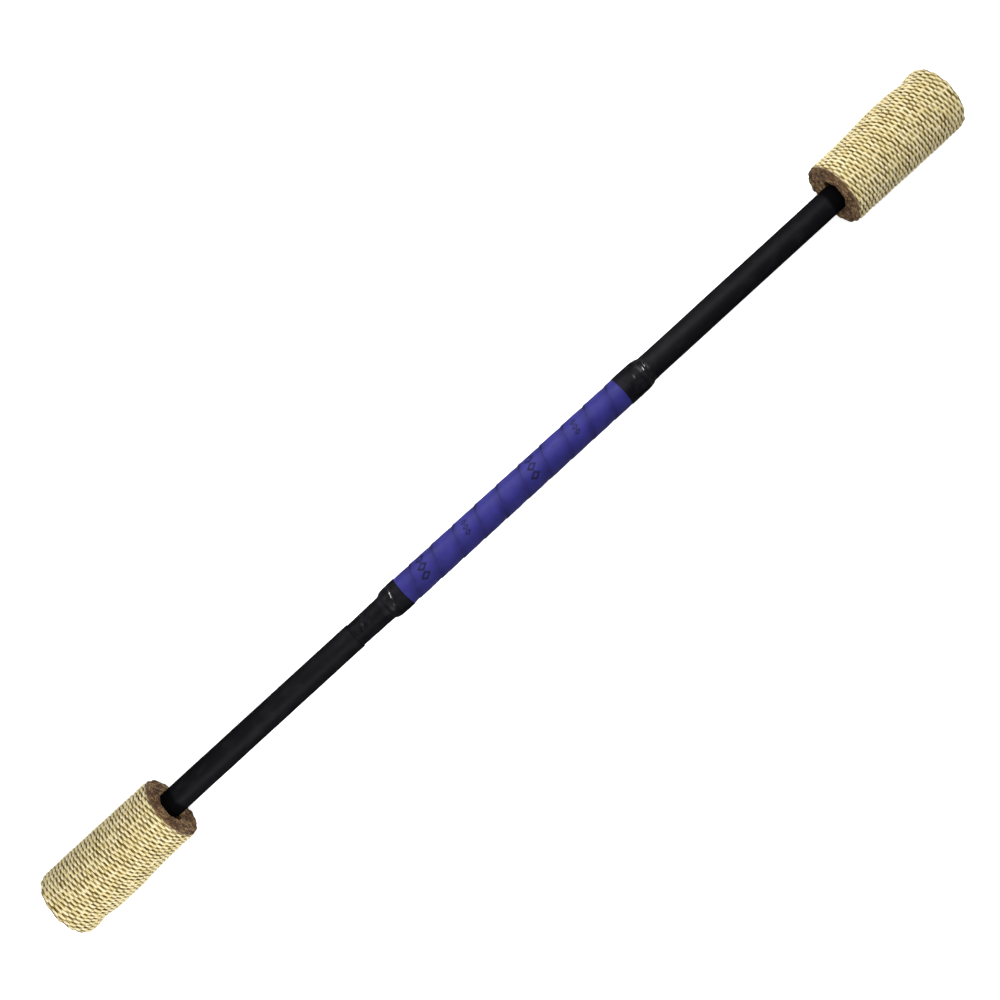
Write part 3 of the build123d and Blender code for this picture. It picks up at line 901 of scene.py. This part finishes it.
def sleeve_piece(name, start, end, seed, material):
    """A heat-shrunk sleeve: it follows the tube with slow swells, and its cut ends curl in a little."""
    x = np.concatenate([
        start + np.array([0, 0.05, 0.15, 0.3, 0.5, 0.8]) * MM,
        np.linspace(start + 1.5 * MM, end - 1.5 * MM, int((end - start) / (1.4 * MM))),
        end - np.array([0.8, 0.5, 0.3, 0.15, 0.05, 0]) * MM,
    ])
    angle = np.linspace(0, TURN, SLEEVE_SIDES, endpoint=False)
    slow, lump = swell(seed, 70 * MM), swell(seed + 1, 16 * MM)
    rim = np.minimum(x - start, end - x)
    outer = SLEEVE - SLEEVE_ROUND * rounded(rim / SLEEVE_ROUND)[:, None]
    around = angle * SLEEVE
    outer = outer + 0.035 * MM * slow(x[:, None], around) + 0.018 * MM * lump(x[:, None], around)
    inner = np.full((2, SLEEVE_SIDES), TUBE + FIT)
    radius = np.concatenate([outer, inner, outer[:1]])
    place = np.concatenate([x, x[-1:], x[:1], x[:1]])
    wavy = 0.10 * MM * np.sin(angle * 2 + seed) + 0.06 * MM * np.sin(angle * 5 + 2 * seed)
    edge = np.exp(-np.minimum(place - start, end - place) / (1.2 * MM))
    inward = np.where(place < (start + end) / 2, 1, -1)[:, None]
    across = place[:, None] + inward * edge[:, None] * np.abs(wavy)
    return sheets(name, [(round_tube(across, radius, angle), {})], material, wrap=True)


# ---- build
def build_wick(side, turn, seed, materials):
    """All the pieces of one wick. turn is the function that puts their points on their end of the baton."""
    warp_paint, weft_paint, tape_paint, edge_paint = materials
    cords, loops = selvage_grids(seed + 20)
    tape = sheets(side + "_wick_tape", turn([(tape_grid(seed + 20), {})]), tape_paint, wrap=True)
    pieces = [
        tape,
        sheets(side + "_wick_warp_cords", turn(warp_grids(seed)), warp_paint),
        sheets(side + "_wick_weft_cords", turn(weft_grids(seed + 10)), weft_paint),
        sheets(side + "_wick_edge_cords", turn(cords), edge_paint, wrap=True),
        sheets(side + "_wick_edge_loops", turn(loops), edge_paint, wrap=True),
        sheets(side + "_wick_fibres", turn(fibre_grids(seed + 30, FIBRES)), warp_paint, wrap=True),
    ]
    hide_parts(side + "_wick")
    for piece in pieces:
        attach(piece, "root")


def paint(node, material):
    """A CAD node keeps its shape and gets a better material."""
    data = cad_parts[node].data
    data.materials.clear()
    data.materials.append(material)


def build_wicks():
    cream = cord_material("wick_warp", color(246, 235, 197), color(226, 209, 150), color(114, 90, 8),
                          singed=color(96, 62, 38))
    straw = cord_material("wick_weft", color(196, 174, 100), color(166, 141, 66), color(102, 80, 12))
    tape = tape_material("wick_tape", color(108, 80, 40), color(44, 30, 14))
    selvage = cord_material("wick_edge", color(248, 204, 144), color(134, 92, 46), color(26, 15, 7),
                            patch_size=3.0, variety=0.6, scorched=color(84, 40, 16))
    materials = (cream, straw, tape, selvage)
    build_wick("right", lambda grids: grids, 11, materials)
    build_wick("left", turned_half, 11, materials)


def right_inside(x):
    """The radius under the right binding: the grip, then the sleeve."""
    return np.where(x < GRIP_END, under_binding(x) + 0.02 * MM, SLEEVE + FIT)


def left_inside(x):
    """The radius under the left binding: the tube, then the grip."""
    return np.where(x > GRIP_START, under_binding(x) + 0.02 * MM, TUBE + FIT)


def build_middle():
    """The grip, its two bindings and the two sleeves."""
    grip = sheets("grip_wrap", [grip_grid(5)], grip_material("grip_rubber"), wrap=True, keep=inside_grip)
    vinyl = vinyl_material("binding_vinyl", color(22, 22, 27), color(12, 12, 15))
    right = binding("right_binding_tape", R_SHOW, R_END, outline_right(), lean=9 * MM, seed=8,
                    inner=right_inside, creases=RIGHT_CREASES, shine=0.55, material=vinyl)
    left = binding("left_binding_tape", L_END, L_SHOW, outline_left(), lean=-13 * MM, seed=9,
                   inner=left_inside, creases=LEFT_CREASES, shine=0.30, material=vinyl)
    shrunk = sleeve_material("sleeve_polyolefin")
    right_sleeve = sleeve_piece("right_sleeve_shrunk", low("right_sleeve", 0), WICK_IN + SNUG, 3, shrunk)
    left_sleeve = sleeve_piece("left_sleeve_shrunk", -WICK_IN - SNUG, L_END + 0.15 * MM, 4, shrunk)
    stands_for = {
        "grip_tape": (grip, "grip"),
        "right_binding": (right, "binding"),
        "left_binding": (left, "binding"),
        "right_sleeve": (right_sleeve, "sleeve"),
        "left_sleeve": (left_sleeve, "sleeve"),
    }
    for node, (piece, slot) in stands_for.items():
        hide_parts(node)
        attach(piece, "root")


def paint_cad_nodes():
    steel = metal_material("screw_steel", color(196, 194, 190), color(138, 132, 124), 0.24)
    zinc = metal_material("washer_zinc", color(206, 204, 198), color(150, 146, 138), 0.30)
    # painted shade on the tube in the wick's bore, where it shows between the sleeve's end and the tape
    shaded_span = (WICK_IN / MM - 2.0, WICK_IN / MM + 4.0)
    drawn = (1, 0.2, 0.2)
    tube = metal_material("tube_aluminium", color(204, 206, 210), color(160, 162, 168), 0.30, drawn, shaded_span)
    paint("core_tube", tube)
    wood = wood_material("dowel_wood")
    for side in ("right", "left"):
        paint(side + "_end_dowel", wood)
        paint(side + "_wick_outer_screws", steel)
        paint(side + "_wick_inner_screws", steel)
        paint(side + "_wick_washers", zinc)


# ---- stage
CAMERA_DISTANCE = 793 * MM
CAMERA_LENS = 40.2
STICK_TILT = math.radians(42.44)  # of the baton's +X end above the horizontal in the picture
CAMERA_OFFSET = (-1.90 * MM, 0.69 * MM)  # from the origin to the picture's middle, right and up


def add_camera():
    """A camera that looks straight down at the baton lying on the floor."""
    data = bpy.data.cameras.new("camera")
    data.lens, data.sensor_width = CAMERA_LENS, 36.0
    data.clip_start, data.clip_end = 0.01, 20.0
    camera = add_object("camera", data)
    turn = Euler((0, 0, -STICK_TILT))
    camera.rotation_euler = turn
    offset = Vector((*CAMERA_OFFSET, CAMERA_DISTANCE))
    offset.rotate(turn)
    camera.location = offset
    bpy.context.scene.camera = camera


def add_light(name, place, aim, size, power, spread):
    """A square soft light at a place, facing another, whose beam opens by spread degrees."""
    data = bpy.data.lights.new(name, "AREA")
    data.size, data.energy, data.spread = size, power, math.radians(spread)
    lamp = add_object(name, data)
    lamp.location = place
    lamp.rotation_euler = (Vector(aim) - Vector(place)).to_track_quat("-Z", "Y").to_euler()


FLOOR_HALF = 3.0
FLOOR_DROP = 0.8 * MM  # room for the cords' crowns under the CAD's wicks


def add_floor():
    """A plain pale floor under the wicks. Only the camera sees its glow, so it doesn't light the baton."""
    z = min(low("right_wick", 2), low("left_wick", 2)) - FLOOR_DROP
    corners = np.array([(x * FLOOR_HALF, y * FLOOR_HALF, z) for x, y in ((-1, -1), (1, -1), (1, 1), (-1, 1))])
    mesh = quad_mesh("floor", corners, np.array([[0, 1, 2, 3]]))
    floor = add_object("floor", mesh)
    s = Shader("floor_paint")
    path = s.node("ShaderNodeLightPath").outputs
    seen = path["Is Camera Ray"]
    tint = s.mix(s.noise(900.0, 1.0), color(226, 226, 226), color(230, 230, 229))
    tint = s.mix(path["Is Glossy Ray"], tint, color(60, 60, 60))
    s.finish(color=tint, roughness=0.9, specular=0.1)
    s.feed(s.surface.inputs["Emission Color"], (1.0, 1.0, 1.0))
    s.feed(s.surface.inputs["Emission Strength"], s.math("MULTIPLY", seen, 0.75))
    mesh.materials.append(s.material)


WORLD_LIGHT, WORLD_REFLECTED = 0.48, 0.10


def add_world():
    """A white surround that lights the baton softly and is darker in reflections, as with black flags."""
    world = bpy.data.worlds.new("world")
    world.use_nodes = True
    nodes, links = world.node_tree.nodes, world.node_tree.links
    strength = nodes.new("ShaderNodeMapRange")
    strength.inputs["To Min"].default_value = WORLD_LIGHT
    strength.inputs["To Max"].default_value = WORLD_REFLECTED
    path = nodes.new("ShaderNodeLightPath")
    links.new(path.outputs["Is Glossy Ray"], strength.inputs["Value"])
    seen = nodes.new("ShaderNodeMath")
    seen.operation = "MAXIMUM"
    links.new(strength.outputs[0], seen.inputs[0])
    links.new(path.outputs["Is Camera Ray"], seen.inputs[1])
    links.new(seen.outputs[0], nodes["Background"].inputs["Strength"])
    nodes["Background"].inputs["Color"].default_value = (1.0, 1.0, 1.0, 1.0)
    bpy.context.scene.world = world


def set_stage():
    add_camera()
    add_floor()
    add_world()
    add_light("right_key", (0.32, 0.52, 0.92), (0.20, 0.0, 0.0), size=0.6, power=1.95, spread=65)
    add_light("left_key", (-0.52, -0.56, 0.90), (-0.42, 0.0, 0.0), size=0.6, power=1.2, spread=50)
    add_light("grip_key", (0.03, 0.75, 0.42), (0.01, 0.0, 0.0), size=0.3, power=0.32, spread=32)
    bpy.context.scene.view_settings.view_transform = "Standard"


build_wicks()
build_middle()
paint_cad_nodes()
set_stage()
